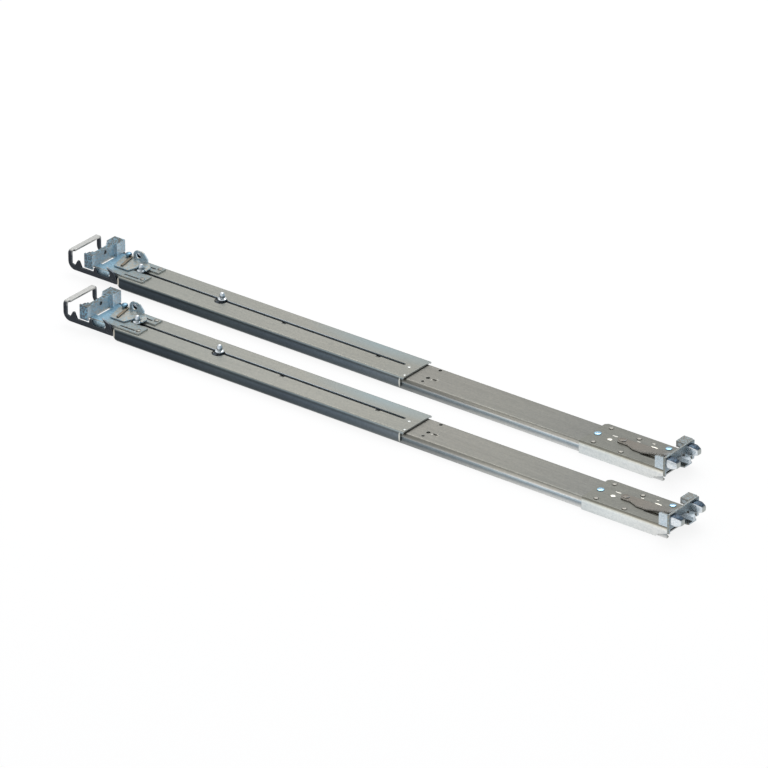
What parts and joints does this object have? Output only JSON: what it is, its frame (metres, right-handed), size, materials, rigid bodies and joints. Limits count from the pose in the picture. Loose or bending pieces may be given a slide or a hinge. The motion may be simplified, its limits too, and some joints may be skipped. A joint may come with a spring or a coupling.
{
  "type": "server rail pair",
  "caption": "pair of telescoping ball-bearing slides with spring latches that carry a server between the front and rear posts of a rack",
  "frame": {"origin": "centre of the pair's footprint on the surface it lies on", "axes": "+X along the rails from the rear post to the front post, +Z away from the server side, +Y across the pair"},
  "size_m": [0.764, 0.1298, 0.0266],
  "materials": {
    "sleeve_steel": "matt zinc-plated sheet",
    "slide_steel": "rolled zinc-plated sheet",
    "zinc_steel": "blue-bright zinc plate",
    "hoop_steel": "bright zinc plate",
    "spring_steel": "oiled spring steel",
    "rivet_steel": "bright zinc plate",
    "ball_steel": "polished bearing steel",
    "cage_steel": "plain pressed strip",
    "bumper_plastic": "moulded black plastic"
  },
  "bodies": {
    "outer_rails": {"left_outer_member": "slide_steel", "left_stop_bumper": "bumper_plastic", "left_guide_studs": "rivet_steel", "left_front_bracket": "slide_steel", "left_front_flange": "zinc_steel", "left_front_pins": "zinc_steel", "left_front_rivets": "rivet_steel", "left_front_latch_rivet": "rivet_steel", "right_outer_member": "slide_steel", "right_stop_bumper": "bumper_plastic", "right_guide_studs": "rivet_steel", "right_front_bracket": "slide_steel", "right_front_flange": "zinc_steel", "right_front_pins": "zinc_steel", "right_front_rivets": "rivet_steel", "right_front_latch_rivet": "rivet_steel"},
    "left_sleeve_unit": {"left_sleeve": "sleeve_steel", "left_rear_bracket": "zinc_steel", "left_rear_flange": "zinc_steel", "left_rear_pins": "zinc_steel", "left_rear_rivets": "rivet_steel", "left_hoop_pivots": "rivet_steel", "left_hoop_spring": "spring_steel", "left_lock_pin": "rivet_steel"},
    "left_hoop": {"left_latch_hoop": "hoop_steel"},
    "left_lock": {"left_lock_lever": "zinc_steel", "left_lock_spring": "spring_steel"},
    "left_latch": {"left_front_latch": "spring_steel"},
    "left_middle": {"left_middle_member": "slide_steel"},
    "left_outer_cage": {"left_outer_ball_cage": "cage_steel", "left_outer_balls": "ball_steel"},
    "left_inner": {"left_inner_member": "slide_steel", "left_release_pivot": "rivet_steel"},
    "left_inner_cage": {"left_inner_ball_cage": "cage_steel", "left_inner_balls": "ball_steel"},
    "left_release": {"left_release_lever": "zinc_steel"},
    "right_sleeve_unit": {"right_sleeve": "sleeve_steel", "right_rear_bracket": "zinc_steel", "right_rear_flange": "zinc_steel", "right_rear_pins": "zinc_steel", "right_rear_rivets": "rivet_steel", "right_hoop_pivots": "rivet_steel", "right_hoop_spring": "spring_steel", "right_lock_pin": "rivet_steel"},
    "right_hoop": {"right_latch_hoop": "hoop_steel"},
    "right_lock": {"right_lock_lever": "zinc_steel", "right_lock_spring": "spring_steel"},
    "right_latch": {"right_front_latch": "spring_steel"},
    "right_middle": {"right_middle_member": "slide_steel"},
    "right_outer_cage": {"right_outer_ball_cage": "cage_steel", "right_outer_balls": "ball_steel"},
    "right_inner": {"right_inner_member": "slide_steel", "right_release_pivot": "rivet_steel"},
    "right_inner_cage": {"right_inner_ball_cage": "cage_steel", "right_inner_balls": "ball_steel"},
    "right_release": {"right_release_lever": "zinc_steel"}
  },
  "joints": [
    {"name": "left_sleeve_slide", "type": "slide", "parent": "outer_rails", "child": "left_sleeve_unit", "axis": [-1, 0, 0], "range_m": [0, 0.21]},
    {"name": "left_hoop_hinge", "type": "hinge", "parent": "left_sleeve_unit", "child": "left_hoop", "pos_m": [-0.3281, 0.04195, 0.0082], "axis": [0, -1, 0], "range_deg": [0, 5], "stiffness_Nm_per_rad": 0.6, "springref_deg": -14.32},
    {"name": "left_lock_swing", "type": "hinge", "parent": "left_sleeve_unit", "child": "left_lock", "pos_m": [-0.3381, 0.05615, 0.0152], "axis": [0, 0, 1], "range_deg": [0, 10], "stiffness_Nm_per_rad": 0.1, "springref_deg": -11.46},
    {"name": "left_latch_swing", "type": "hinge", "parent": "outer_rails", "child": "left_latch", "pos_m": [0.2446, 0.04155, 0.0138], "axis": [0, 0, -1], "range_deg": [0, 3], "stiffness_Nm_per_rad": 0.4, "springref_deg": -5.73},
    {"name": "left_middle_slide", "type": "slide", "parent": "outer_rails", "child": "left_middle", "axis": [1, 0, 0], "range_m": [0, 0.3]},
    {"name": "left_outer_cage_roll", "type": "slide", "parent": "outer_rails", "child": "left_outer_cage", "axis": [1, 0, 0], "range_m": [0, 0.15]},
    {"name": "left_inner_slide", "type": "slide", "parent": "left_middle", "child": "left_inner", "axis": [1, 0, 0], "range_m": [0, 0.29]},
    {"name": "left_inner_cage_roll", "type": "slide", "parent": "left_middle", "child": "left_inner_cage", "axis": [1, 0, 0], "range_m": [0, 0.145]},
    {"name": "left_release_swing", "type": "hinge", "parent": "left_inner", "child": "left_release", "pos_m": [0.2382, 0.04195, 0.0024], "axis": [0, 0, 1], "range_deg": [0, 8], "stiffness_Nm_per_rad": 0.1, "springref_deg": -11.46},
    {"name": "right_sleeve_slide", "type": "slide", "parent": "outer_rails", "child": "right_sleeve_unit", "axis": [-1, 0, 0], "range_m": [0, 0.21]},
    {"name": "right_hoop_hinge", "type": "hinge", "parent": "right_sleeve_unit", "child": "right_hoop", "pos_m": [-0.2633, -0.04245, 0.0082], "axis": [0, -1, 0], "range_deg": [0, 5], "stiffness_Nm_per_rad": 0.6, "springref_deg": -14.32},
    {"name": "right_lock_swing", "type": "hinge", "parent": "right_sleeve_unit", "child": "right_lock", "pos_m": [-0.2733, -0.02825, 0.0152], "axis": [0, 0, 1], "range_deg": [0, 10], "stiffness_Nm_per_rad": 0.1, "springref_deg": -11.46},
    {"name": "right_latch_swing", "type": "hinge", "parent": "outer_rails", "child": "right_latch", "pos_m": [0.3094, -0.04285, 0.0138], "axis": [0, 0, -1], "range_deg": [0, 3], "stiffness_Nm_per_rad": 0.4, "springref_deg": -5.73},
    {"name": "right_middle_slide", "type": "slide", "parent": "outer_rails", "child": "right_middle", "axis": [1, 0, 0], "range_m": [0, 0.3]},
    {"name": "right_outer_cage_roll", "type": "slide", "parent": "outer_rails", "child": "right_outer_cage", "axis": [1, 0, 0], "range_m": [0, 0.15]},
    {"name": "right_inner_slide", "type": "slide", "parent": "right_middle", "child": "right_inner", "axis": [1, 0, 0], "range_m": [0, 0.29]},
    {"name": "right_inner_cage_roll", "type": "slide", "parent": "right_middle", "child": "right_inner_cage", "axis": [1, 0, 0], "range_m": [0, 0.145]},
    {"name": "right_release_swing", "type": "hinge", "parent": "right_inner", "child": "right_release", "pos_m": [0.303, -0.04245, 0.0024], "axis": [0, 0, 1], "range_deg": [0, 8], "stiffness_Nm_per_rad": 0.1, "springref_deg": -11.46}
  ],
  "couplings": [
    {"joint": "left_outer_cage_roll", "follows": "left_middle_slide", "ratio": 0.5},
    {"joint": "left_inner_cage_roll", "follows": "left_inner_slide", "ratio": 0.5},
    {"joint": "right_outer_cage_roll", "follows": "right_middle_slide", "ratio": 0.5},
    {"joint": "right_inner_cage_roll", "follows": "right_inner_slide", "ratio": 0.5}
  ]
}
